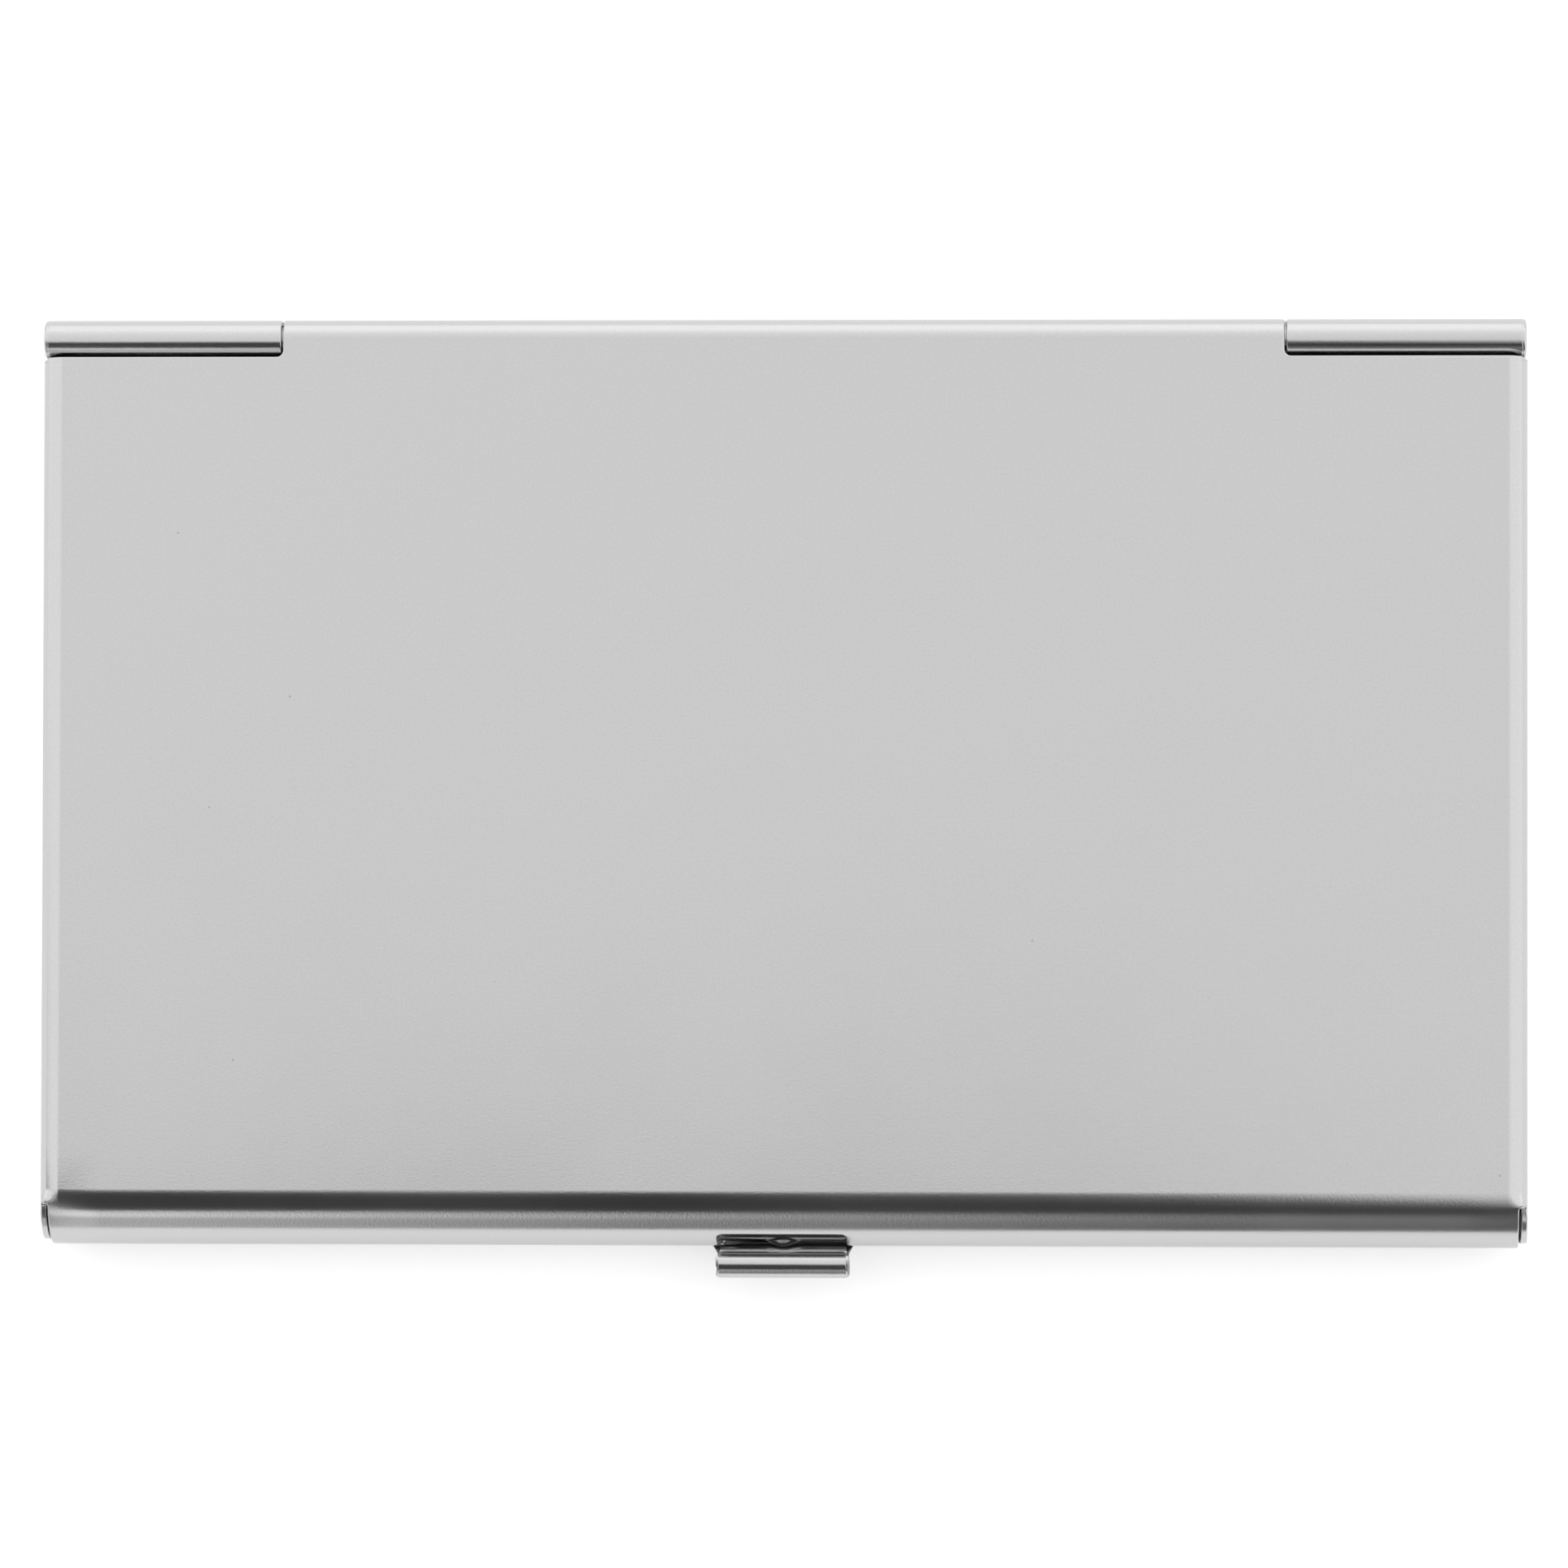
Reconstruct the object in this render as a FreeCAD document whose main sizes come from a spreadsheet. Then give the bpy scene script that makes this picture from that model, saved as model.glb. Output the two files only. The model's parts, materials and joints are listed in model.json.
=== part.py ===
import FreeCAD, Part
import math
import os
import Sketcher

# Business card case in satin-chromed sheet steel: a base pan, a lid pan and the wire pin that
# hinges them.  Millimetres.  +X runs along the hinge, +Y points from the thumb tab to the
# hinge, +Z is up.  The case lies closed on z = 0, and the origin is under the middle of its
# bounding box, the thumb tab included.

DRIVING_SIZES = {
    "case_width": 93.0,        # side to side, over the lid
    "case_length": 60.0,       # hinge side to the front of the thumb tab
    "case_height": 7.0,        # both pans, closed
    "tab_reach": 2.0,          # how far the thumb tab stands out of the front
    "sheet": 0.4,              # sheet thickness of both pans
    "side_bend": 1.3,          # outer radius of the bends along the sides and under the hinge
    "base_inset": 0.08,        # the base is narrower than the lid by this on each side
    "parting_gap": 0.12,       # between the edges of the closed pans
    "relief_depth": 2.6,       # length of the corner slits, from the front
    "roll_inset": 0.65,        # end of the front roll to the side of the lid
    "knuckle_radius": 1.22,    # outside of the hinge barrels
    "ear_length": 14.95,       # each of the base's two barrels, with its end cap
    "ear_slot": 0.12,          # between a base barrel and the lid's barrel
    "pin_radius": 0.78,        # hinge wire
    "pin_round": 0.15,         # rounding of the wire's ends
    "pin_recess": 0.04,        # the wire's ends lie this far inside the end caps
    "hinge_gap": 0.12,         # between the lid's edges and the base's barrels
    "notch_back": 2.36,        # rear of the case to the edge of the lid beside its barrel
    "notch_corner": 0.4,       # fillet in the corners of those notches
    "wall_clearance": 0.16,    # between the base's rear wall and the lid's barrel above it
    "ear_corner": 0.32,        # rounding of the ends of the base's barrels
    "recess_width": 8.0,       # pressed recess in the lid's roll behind the thumb tab
    "recess_height": 2.1,      # top of the recess above the middle of the case
    "recess_depth": 0.35,
    "recess_lap": 0.3,         # how far its pressed sheet runs on behind the roll, at each side
    "bump_width": 2.4,         # detent bump in the recess
    "bump_height": 0.8,
    "bump_rise": 0.45,
    "bump_level": 0.5,         # centre of the bump above the middle of the case
    "tab_width": 8.1,          # thumb tab
    "tab_bend": 0.15,          # inner radius of the bend that turns the tab outwards
    "bead_radius": 0.87,       # outside of the curled edge of the thumb tab
    "root_fillet": 0.6,        # flare of the thumb tab where it leaves the front of the base
    "tab_corner": 0.35,        # rounding of the corners of the tab's free edge
}

# Directions in degrees round the axis of the curl or roll that they belong to, from +Y
# towards +Z: where a curled sheet starts, and where its free edge is.
BASE_BARREL_END = 300
LID_BARREL_END = -210
TAB_ROOT = 197
TAB_FREE_EDGE = 20
RECESS_TOP = 132
RECESS_BOTTOM = 179


class Size:
    """A length that carries its value and the spreadsheet expression that gives it."""

    def __init__(self, value, text):
        self.value = value
        self.text = text

    def __add__(self, other):
        other = as_size(other)
        return Size(self.value + other.value, f"({self.text} + {other.text})")

    def __sub__(self, other):
        other = as_size(other)
        return Size(self.value - other.value, f"({self.text} - {other.text})")

    def __mul__(self, factor):
        return Size(self.value * factor, f"({self.text} * {factor})")

    def __truediv__(self, divisor):
        return Size(self.value / divisor, f"({self.text} / {divisor})")

    def __neg__(self):
        return self * -1


def as_size(number):
    return number if isinstance(number, Size) else Size(float(number), f"{number} mm")


def make_sheet(document, sizes):
    sheet = document.addObject("Spreadsheet::Sheet", "Sizes")
    for row, (alias, value) in enumerate(sizes.items(), start=1):
        sheet.set(f"A{row}", alias)
        sheet.set(f"B{row}", str(value))
        sheet.setAlias(f"B{row}", alias)
    document.recompute()
    return {alias: Size(value, f"Sizes.{alias} * 1 mm") for alias, value in sizes.items()}


doc = FreeCAD.newDocument("BusinessCardCase")
cell = make_sheet(doc, DRIVING_SIZES)

# Places that several sub-parts share, worked out from the driving sizes.
zero = as_size(0)
rear = cell["case_length"] / 2
front = -rear + cell["tab_reach"]
middle = cell["case_height"] / 2
sheet_size = cell["sheet"]
roll_radius = middle
roll_inner = roll_radius - sheet_size
roll_centre = (front + roll_radius, middle)
lid_half = cell["case_width"] / 2
base_half = lid_half - cell["base_inset"]
roll_half = lid_half - cell["roll_inset"]
knuckle = cell["knuckle_radius"]
knuckle_bore = knuckle - sheet_size
hinge = (rear - knuckle, cell["case_height"] - knuckle)
ear_start = base_half - cell["ear_length"]
lid_knuckle_half = ear_start - cell["ear_slot"]


def polar(centre, radius, degrees):
    """Point at an angle round a centre; 0 degrees is the sketch's first axis."""
    turn = math.radians(degrees)
    across = Size(radius.value * math.cos(turn), f"({radius.text} * cos({degrees} deg))")
    up = Size(radius.value * math.sin(turn), f"({radius.text} * sin({degrees} deg))")
    return (centre[0] + across, centre[1] + up)


def origin_plane(body, role):
    return next(item for item in body.Origin.OriginFeatures if item.Role == role)


def new_body(label):
    body = doc.addObject("PartDesign::Body", label)
    body.Label = label
    return body


def add_edge(sketch, start, end, arc):
    """Add one line or arc and say which of its ends is the start and which the end."""
    first = FreeCAD.Vector(start[0].value, start[1].value, 0)
    last = FreeCAD.Vector(end[0].value, end[1].value, 0)
    if arc is None:
        return sketch.addGeometry(Part.LineSegment(first, last)), 1, 2
    centre, radius, turn = arc
    middle_point = FreeCAD.Vector(centre[0].value, centre[1].value, 0)
    circle = Part.Circle(middle_point, FreeCAD.Vector(0, 0, 1), radius.value)
    angles = [math.atan2(*reversed((point - middle_point)[:2])) for point in (first, last)]
    if turn == "ccw":
        return sketch.addGeometry(Part.ArcOfCircle(circle, angles[0], angles[1])), 1, 2
    return sketch.addGeometry(Part.ArcOfCircle(circle, angles[1], angles[0])), 2, 1


def bind(sketch, constraint, size):
    index = sketch.addConstraint(constraint)
    sketch.setExpression(f"Constraints[{index}]", size.text)


def new_sketch(body, name, role, offset=zero):
    sketch = body.newObject("Sketcher::SketchObject", name)
    sketch.AttachmentSupport = [(origin_plane(body, role), "")]
    sketch.MapMode = "FlatFace"
    sketch.setExpression(".AttachmentOffset.Base.z", offset.text)
    return sketch


def outline(body, name, role, corners, offset=zero):
    """Closed sketch on an origin plane.  A corner is (first, second), or has a third item
    (centre, radius, turn) when the edge that follows it is an arc."""
    sketch = new_sketch(body, name, role, offset)
    ends = []
    for corner, following in zip(corners, corners[1:] + corners[:1]):
        arc = corner[2] if len(corner) == 3 else None
        ends.append(add_edge(sketch, corner, following, arc))
    for number, (edge, start, end) in enumerate(ends):
        next_edge, next_start, _ = ends[(number + 1) % len(ends)]
        sketch.addConstraint(Sketcher.Constraint("Coincident", edge, end, next_edge, next_start))
    for corner, (edge, start, end) in zip(corners, ends):
        first, second = corner[0], corner[1]
        bind(sketch, Sketcher.Constraint("DistanceX", -1, 1, edge, start, first.value), first)
        bind(sketch, Sketcher.Constraint("DistanceY", -1, 1, edge, start, second.value), second)
        if len(corner) == 3:
            radius = corner[2][1]
            bind(sketch, Sketcher.Constraint("Radius", edge, radius.value), radius)
    return sketch


def rectangle(body, name, role, low, high, offset=zero):
    """Closed rectangular sketch between two opposite corners."""
    return outline(body, name, role, [low, (high[0], low[1]), high, (low[0], high[1])], offset)


def circle_sketch(body, name, role, centre, radius, offset=zero):
    sketch = new_sketch(body, name, role, offset)
    place = FreeCAD.Vector(centre[0].value, centre[1].value, 0)
    edge = sketch.addGeometry(Part.Circle(place, FreeCAD.Vector(0, 0, 1), radius.value))
    bind(sketch, Sketcher.Constraint("Radius", edge, radius.value), radius)
    bind(sketch, Sketcher.Constraint("DistanceX", -1, 1, edge, 3, centre[0].value), centre[0])
    bind(sketch, Sketcher.Constraint("DistanceY", -1, 1, edge, 3, centre[1].value), centre[1])
    return sketch


def extrude(body, kind, sketch, length, symmetric=False, reverse=False):
    """Pad or pocket a sketch and stop if a pocket cuts nothing or a pad adds nothing."""
    before = body.Shape.Volume if body.Tip else 0
    feature = body.newObject(f"PartDesign::{kind}", sketch.Name + kind)
    feature.Profile = sketch
    feature.SideType = "Symmetric" if symmetric else "One side"
    feature.Reversed = reverse
    feature.setExpression("Length", length.text)
    doc.recompute()
    if abs(body.Shape.Volume - before) < 1e-6:
        raise RuntimeError(f"{feature.Name} changes nothing")
    return feature


def mirror_sides(body, *features):
    """Repeat features on the other side of the case."""
    mirrored = body.newObject("PartDesign::Mirrored", features[0].Name + "Mirror")
    mirrored.Originals = list(features)
    mirrored.MirrorPlane = (origin_plane(body, "YZ_Plane"), [""])
    body.Tip = mirrored
    doc.recompute()
    return mirrored


def round_edges(body, name, radius, chosen):
    """Fillet the edges of the body's tip that a test picks."""
    base = body.Tip
    names = [f"Edge{number}" for number, edge in enumerate(base.Shape.Edges, start=1) if chosen(edge)]
    fillet = body.newObject("PartDesign::Fillet", name)
    fillet.Base = (base, names)
    fillet.setExpression("Radius", radius.text)
    doc.recompute()
    return fillet


def make_pan(body, half_width, rear_edge, up):
    """Folded pan: plate, side flanges and front roll.  up is 1 for the lid, -1 for the base."""
    plate = middle + middle * up
    bend = cell["side_bend"]
    bend_inner = bend - sheet_size
    inside = half_width - sheet_size
    turn = half_width - bend
    bend_level = plate - bend * up
    plate_inside = plate - sheet_size * up
    left = (-turn, bend_level)
    right = (turn, bend_level)
    forth, back = ("cw", "ccw") if up > 0 else ("ccw", "cw")
    channel = outline(body, body.Name + "Channel", "XZ_Plane", [
        (-half_width, middle),
        (-half_width, bend_level, (left, bend, forth)),
        (-turn, plate),
        (turn, plate, (right, bend, forth)),
        (half_width, bend_level),
        (half_width, middle),
        (inside, middle),
        (inside, bend_level, (right, bend_inner, back)),
        (turn, plate_inside),
        (-turn, plate_inside, (left, bend_inner, back)),
        (-inside, bend_level),
        (-inside, middle),
    ], offset=-rear_edge)
    extrude(body, "Pad", channel, rear_edge - front)

    roll = outline(body, body.Name + "Roll", "YZ_Plane", [
        (front, middle, (roll_centre, roll_radius, forth)),
        (roll_centre[0], plate),
        (roll_centre[0], plate_inside, (roll_centre, roll_inner, back)),
        (front + sheet_size, middle),
    ])
    extrude(body, "Pad", roll, roll_half * 2, symmetric=True)

    outside = plate + as_size(up)
    nose = outline(body, body.Name + "Nose", "YZ_Plane", [
        (front, middle, (roll_centre, roll_radius, forth)),
        (roll_centre[0], plate),
        (roll_centre[0], outside),
        (front - 1, outside),
        (front - 1, middle),
    ])
    extrude(body, "Pocket", nose, cell["case_width"] * 2, symmetric=True)

    shoulder = outline(body, body.Name + "Shoulder", "XZ_Plane", [
        (turn, plate, (right, bend, forth)),
        (half_width, bend_level),
        (half_width + 1, bend_level),
        (half_width + 1, outside),
        (turn, outside),
    ])
    cut = extrude(body, "Pocket", shoulder, cell["case_length"] * 2, symmetric=True)
    mirror_sides(body, cut)

    parting = rectangle(body, body.Name + "Parting", "YZ_Plane",
                        (front - 1, middle - as_size(up)),
                        (rear + 1, middle + cell["parting_gap"] / 2 * up))
    extrude(body, "Pocket", parting, cell["case_width"] * 2, symmetric=True)

    slit = rectangle(body, body.Name + "Slit", "XY_Plane",
                     (roll_half, front - 1),
                     (inside, front + cell["relief_depth"]))
    cut = extrude(body, "Pocket", slit, cell["case_height"] * 4, symmetric=True)
    mirror_sides(body, cut)


def curl(centre, start_angle, end_angle, turn):
    """Corners of a curled sheet edge, on the outside from start to end and back inside."""
    back = "cw" if turn == "ccw" else "ccw"
    return [
        (*polar(centre, knuckle, start_angle), (centre, knuckle, turn)),
        polar(centre, knuckle, end_angle),
        (*polar(centre, knuckle_bore, end_angle), (centre, knuckle_bore, back)),
        polar(centre, knuckle_bore, start_angle),
    ]


def make_base():
    """Base pan: rear wall, two curled hinge barrels with end caps, and the thumb tab."""
    body = new_body("base_shell")
    make_pan(body, base_half, rear, -1)
    bend = cell["side_bend"]
    bend_centre = (rear - bend, bend)
    wall_inside = rear - sheet_size
    wall_top = hinge[1] - knuckle - cell["wall_clearance"]
    wall = outline(body, "RearWall", "YZ_Plane", [
        (bend_centre[0], zero, (bend_centre, bend, "ccw")),
        (rear, bend),
        (rear, wall_top),
        (wall_inside, wall_top),
        (wall_inside, bend, (bend_centre, bend - sheet_size, "cw")),
        (bend_centre[0], sheet_size),
    ])
    extrude(body, "Pad", wall, base_half * 2, symmetric=True)

    heel = outline(body, "RearHeel", "YZ_Plane", [
        (bend_centre[0], zero, (bend_centre, bend, "ccw")),
        (rear, bend),
        (rear + 1, bend),
        (rear + 1, -as_size(1)),
        (bend_centre[0], -as_size(1)),
    ])
    extrude(body, "Pocket", heel, cell["case_width"] * 2, symmetric=True)
    turn = base_half - bend
    heel_side = outline(body, "HeelSide", "XZ_Plane", [
        (turn, zero, ((turn, bend), bend, "ccw")),
        (base_half, bend),
        (base_half + 1, bend),
        (base_half + 1, -as_size(1)),
        (turn, -as_size(1)),
    ])
    cut = extrude(body, "Pocket", heel_side, cell["case_length"] * 2, symmetric=True)
    mirror_sides(body, cut)

    turns = curl(hinge, 0, BASE_BARREL_END, "ccw")
    barrel = outline(body, "Barrel", "YZ_Plane", turns, offset=ear_start)
    barrel_pad = extrude(body, "Pad", barrel, cell["ear_length"])
    upright = rectangle(body, "Upright", "YZ_Plane", (wall_inside, bend), hinge_rear(), ear_start)
    upright_pad = extrude(body, "Pad", upright, cell["ear_length"])
    mirror_sides(body, barrel_pad, upright_pad)

    cap_front = hinge[0] - knuckle
    cap_foot = middle - cell["parting_gap"]
    cap = outline(body, "EndCap", "YZ_Plane", [
        (rear, hinge[1], (hinge, knuckle, "ccw")),
        (hinge[0], cell["case_height"], (hinge, knuckle, "ccw")),
        (cap_front, hinge[1]),
        (cap_front, cap_foot),
        (rear, cap_foot),
    ], offset=base_half - sheet_size)
    cap_pad = extrude(body, "Pad", cap, sheet_size)
    mirror_sides(body, cap_pad)
    bore = circle_sketch(body, "PinHole", "YZ_Plane", hinge, knuckle_bore)
    extrude(body, "Pocket", bore, cell["case_width"] * 2, symmetric=True)

    add_thumb_tab(body)
    round_edges(body, "EarCorners", cell["ear_corner"], is_ear_corner)
    return body


def hinge_rear():
    return (rear, hinge[1])


def is_ear_corner(edge):
    """Outer edges of the end caps that run up the corner and over the barrel."""
    box = edge.BoundBox
    at_side = min(abs(abs(box.XMin) - base_half.value), abs(abs(box.XMax) - base_half.value)) < 1e-4
    flat = box.XLength < 1e-4
    high = box.ZMin > cell["side_bend"].value - 1e-4
    corner = box.YMin > rear.value - 1e-4
    barrel = box.YMin > hinge[0].value - knuckle.value - 1e-4 and box.ZMin > hinge[1].value - 1e-4
    return at_side and flat and high and (corner or barrel)


def add_thumb_tab(body):
    """Tongue of the base's front edge, bent outwards and curled up and back into a bead."""
    tab_half = cell["tab_width"] / 2
    bend = cell["tab_bend"]
    bead = cell["bead_radius"]
    bead_inner = bead - sheet_size
    web_high = middle - cell["parting_gap"] / 2
    web_low = web_high - sheet_size
    bead_centre = (-rear + bead, web_low + bead)
    bend_centre = (front - bend, web_low - bend)
    tab = outline(body, "ThumbTab", "YZ_Plane", [
        polar(roll_centre, roll_radius, TAB_ROOT),
        polar(roll_centre, roll_inner, TAB_ROOT),
        (front + sheet_size, bend_centre[1], (bend_centre, bend + sheet_size, "ccw")),
        (bend_centre[0], web_high),
        (bead_centre[0], web_high, (bead_centre, bead_inner, "cw")),
        polar(bead_centre, bead_inner, TAB_FREE_EDGE),
        (*polar(bead_centre, bead, TAB_FREE_EDGE), (bead_centre, bead, "ccw")),
        (bead_centre[0], web_low),
        (bend_centre[0], web_low, (bend_centre, bend, "cw")),
        (front, bend_centre[1]),
    ])
    extrude(body, "Pad", tab, tab_half * 2, symmetric=True)

    fillet = cell["root_fillet"]
    flare_centre = (tab_half + fillet, front - fillet)
    flare = outline(body, "RootFlare", "XY_Plane", [
        (tab_half, front - fillet, (flare_centre, fillet, "cw")),
        (tab_half + fillet, front),
        (tab_half + fillet, front + sheet_size / 2),
        (tab_half - sheet_size, front + sheet_size / 2),
        (tab_half - sheet_size, front - fillet),
    ], offset=web_low)
    flare_pad = extrude(body, "Pad", flare, sheet_size)
    mirror_sides(body, flare_pad)
    round_edges(body, "TabCorners", cell["tab_corner"], is_tab_corner)


def is_tab_corner(edge):
    """Short edges across the sheet at the free end of the curled tab."""
    box = edge.BoundBox
    at_side = abs(abs(box.XMin) - cell["tab_width"].value / 2) < 1e-4 and box.XLength < 1e-4
    before_front = box.YMax < front.value - 0.1
    straight = edge.Curve.TypeId == "Part::GeomLine"
    return at_side and before_front and straight and edge.Length < sheet_size.value + 1e-3


def make_lid():
    """Lid pan with its long centre barrel and the notch over the thumb tab."""
    body = new_body("lid_shell")
    notch_edge = rear - cell["notch_back"]
    make_pan(body, lid_half, notch_edge, 1)

    sweep = knuckle + cell["hinge_gap"]
    swept = (hinge[0] - sweep, hinge[1])
    clearance = outline(body, "BarrelSweep", "YZ_Plane", [
        (*polar(hinge, sweep, 90), (hinge, sweep, "ccw")),
        swept,
        (swept[0], middle - 1),
        (hinge[0], middle - 1),
    ])
    extrude(body, "Pocket", clearance, cell["case_width"] * 2, symmetric=True)

    top = cell["case_height"]
    barrel = outline(body, "LidBarrel", "YZ_Plane", curl(hinge, 90, LID_BARREL_END, "cw"))
    barrel_pad = extrude(body, "Pad", barrel, lid_knuckle_half * 2, symmetric=True)
    neck = rectangle(body, "LidNeck", "YZ_Plane",
                     (notch_edge - sheet_size, top - sheet_size), (hinge[0], top))
    extrude(body, "Pad", neck, lid_knuckle_half * 2, symmetric=True)

    add_catch_recess(body)
    round_edges(body, "NotchCorners", cell["notch_corner"], is_notch_corner)
    return body


def add_catch_recess(body):
    """Recess pressed into the lid's roll behind the thumb tab, with the bump of the catch."""
    recess_half = cell["recess_width"] / 2
    recess_top = middle + cell["recess_height"]
    root = front + roll_radius / 2
    opening = rectangle(body, "RecessOpening", "XZ_Plane",
                        (-recess_half, middle - 1), (recess_half, recess_top), -root)
    extrude(body, "Pocket", opening, roll_radius, reverse=True)

    outer = roll_radius - cell["recess_depth"]
    inner = outer - sheet_size
    floor = outline(body, "RecessFloor", "YZ_Plane", [
        (*polar(roll_centre, outer, RECESS_TOP), (roll_centre, outer, "ccw")),
        polar(roll_centre, outer, RECESS_BOTTOM),
        (*polar(roll_centre, inner, RECESS_BOTTOM), (roll_centre, inner, "cw")),
        polar(roll_centre, inner, RECESS_TOP),
    ])
    extrude(body, "Pad", floor, (recess_half + cell["recess_lap"]) * 2, symmetric=True)

    bump = body.newObject("PartDesign::AdditiveEllipsoid", "DetentBump")
    bump.AttachmentSupport = [(origin_plane(body, "XY_Plane"), "")]
    bump.MapMode = "FlatFace"
    bump.setExpression("Radius1", (cell["bump_height"] / 2).text)
    bump.setExpression("Radius2", (cell["bump_width"] / 2).text)
    bump.setExpression("Radius3", cell["bump_rise"].text)
    bump.setExpression(".AttachmentOffset.Base.y", (roll_centre[0] - outer).text)
    bump.setExpression(".AttachmentOffset.Base.z", (middle + cell["bump_level"]).text)
    doc.recompute()


def is_notch_corner(edge):
    """Upright edges where the lid's barrel steps out of its rear edge."""
    box = edge.BoundBox
    upright = box.XLength < 1e-4 and box.YLength < 1e-4
    beside_barrel = abs(abs(box.XMin) - lid_knuckle_half.value) < 1e-4
    return upright and beside_barrel and abs(box.ZMax - cell["case_height"].value) < 1e-4


def make_hinge_pin():
    """Steel wire through both of the base's barrels and the lid's barrel."""
    body = new_body("hinge_pin")
    end = base_half - cell["pin_recess"]
    section = circle_sketch(body, "Wire", "YZ_Plane", hinge, cell["pin_radius"])
    extrude(body, "Pad", section, end * 2, symmetric=True)
    round_edges(body, "WireEnds", cell["pin_round"], lambda edge: edge.BoundBox.XLength < 1e-4)
    return body


def check_and_export(bodies):
    for item in doc.Objects:
        if "Invalid" in item.State or "Error" in item.State:
            raise RuntimeError(f"{item.Name} did not build: {item.State}")
    os.makedirs("parts", exist_ok=True)
    for body in bodies:
        shape = body.Shape
        if shape.isNull() or not shape.isValid() or len(shape.Solids) != 1:
            raise RuntimeError(f"{body.Label} is not one valid solid")
        shape.exportStep(f"parts/{body.Label}.step")
        print(body.Label, round(shape.Volume, 2), "mm3")


made = [make() for make in (make_base, make_hinge_pin, make_lid)]
doc.recompute()
check_and_export(made)
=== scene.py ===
import json
import math

import bpy
import numpy as np
from mathutils import Matrix, Vector
from mathutils.geometry import delaunay_2d_cdt


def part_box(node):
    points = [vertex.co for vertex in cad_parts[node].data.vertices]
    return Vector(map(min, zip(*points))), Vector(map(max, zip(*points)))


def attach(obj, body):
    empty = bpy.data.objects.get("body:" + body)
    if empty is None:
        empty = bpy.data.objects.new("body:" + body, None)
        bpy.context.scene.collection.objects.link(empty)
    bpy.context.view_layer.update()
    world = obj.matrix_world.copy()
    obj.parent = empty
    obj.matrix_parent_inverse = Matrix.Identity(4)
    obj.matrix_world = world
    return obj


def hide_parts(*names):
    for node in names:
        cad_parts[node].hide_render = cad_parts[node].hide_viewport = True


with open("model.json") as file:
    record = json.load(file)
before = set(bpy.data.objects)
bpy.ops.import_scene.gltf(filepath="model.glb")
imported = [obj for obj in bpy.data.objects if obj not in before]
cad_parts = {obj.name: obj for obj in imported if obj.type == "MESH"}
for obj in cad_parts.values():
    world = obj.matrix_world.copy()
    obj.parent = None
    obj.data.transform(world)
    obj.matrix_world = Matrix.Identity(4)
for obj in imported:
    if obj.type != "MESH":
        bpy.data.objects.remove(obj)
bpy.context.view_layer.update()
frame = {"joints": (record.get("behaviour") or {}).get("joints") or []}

# Business card case in satin-chromed sheet steel.  Each pan is one folded sheet, so each is
# drawn here as its flat blank (s across, t from front to rear), folded over its bend lines
# and given its thickness and rounded edges.  Lengths are millimetres until a mesh is made.

MM = 0.001


# ---------------------------------------------------------------- sizes from the frame

def box_mm(node):
    low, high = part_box(node)
    return low / MM, high / MM


_, lid_high = box_mm("lid_shell")
base_low, base_high = box_mm("base_shell")
pin_low, pin_high = box_mm("hinge_pin")
hinge_place = Vector(frame["joints"][0]["pos_m"]) / MM

HEIGHT = lid_high.z
MIDDLE = HEIGHT / 2
REAR = lid_high.y
LID_HALF = lid_high.x
BASE_HALF = base_high.x
HINGE_Y = hinge_place.y
HINGE_Z = hinge_place.z
KNUCKLE = HEIGHT - HINGE_Z
TAB_FRONT = base_low.y

# Both pans
SHEET = 0.4
SIDE_BEND = 1.3           # outer radius of the bends along the sides
ROLL = MIDDLE             # outer radius of the rolled front edge
PARTING = 0.12            # gap between the edges of the closed pans
RIM = 0.09                # rounding of cut edges
CAP_RIM = 0.18            # and of the end caps' edges
CURL_TURN = 300.0         # how far the hinge barrels are curled, in degrees
CORNER = 0.15             # small fillets of the blanks

# Front roll, its ends and the side flaps beside them
STRIP_INSET = 0.55        # end of the roll to the side of the pan
SLIT_REACH = 0.95         # the slits between roll and flaps start this far down the roll
FLAP_ANGLE = math.radians(68)   # turn of the side bend at which a flap is slit from the roll
NOSE_REACH = 3.2          # the rounded front end of a flap is part of an ellipse: its half
NOSE_RISE = 2.78          # length and half height
BLEND_START = 0.02        # the roll blends into the side bend from just outside its end
DROOP = 0.13              # the upper part of the roll's ends hangs down by this
DROOP_LENGTH = 2.4
DROOP_LIMIT = 1.2         # beyond the roll's end the droop grows to this share, squared
DROOP_FROM, DROOP_MOST, DROOP_TO = -1.0, 2.5, 5.0   # down the roll: start, most, end

# Hinge
EAR_LENGTH = 14.95
EAR_SLOT = 0.12
EAR_START = BASE_HALF - EAR_LENGTH
LID_KNUCKLE_HALF = EAR_START - EAR_SLOT
NOTCH_BACK = 2.36         # rear of the case to the lid's edge beside its barrel
NOTCH_CORNER = 0.4
HINGE_GAP = 0.12          # between the lid's edges and the base's barrels
WALL_CLEARANCE = 0.16     # between the base's rear wall and the lid's barrel above it
CAP_LAP = 0.2             # how far a base barrel laps over its end cap
CAP_CORNER = 0.5          # fillet in front of an end cap
CAP_FADE = 0.5            # the caps' rounding starts this far beyond the flange's edge
CAP_CLEARANCE = 0.02      # end cap to the outside of its barrel
HOLE_EDGE = 0.2           # the wire's holes keep the small rounding
RELIEF = 0.25             # cut between rear wall and side flap, past the start of the bend
LAP_START = 0.5           # a barrel's lap reaches its width this far round the curl
WALL_BLEND = 0.3          # beside the rear bend, where wall and side flap part

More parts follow.
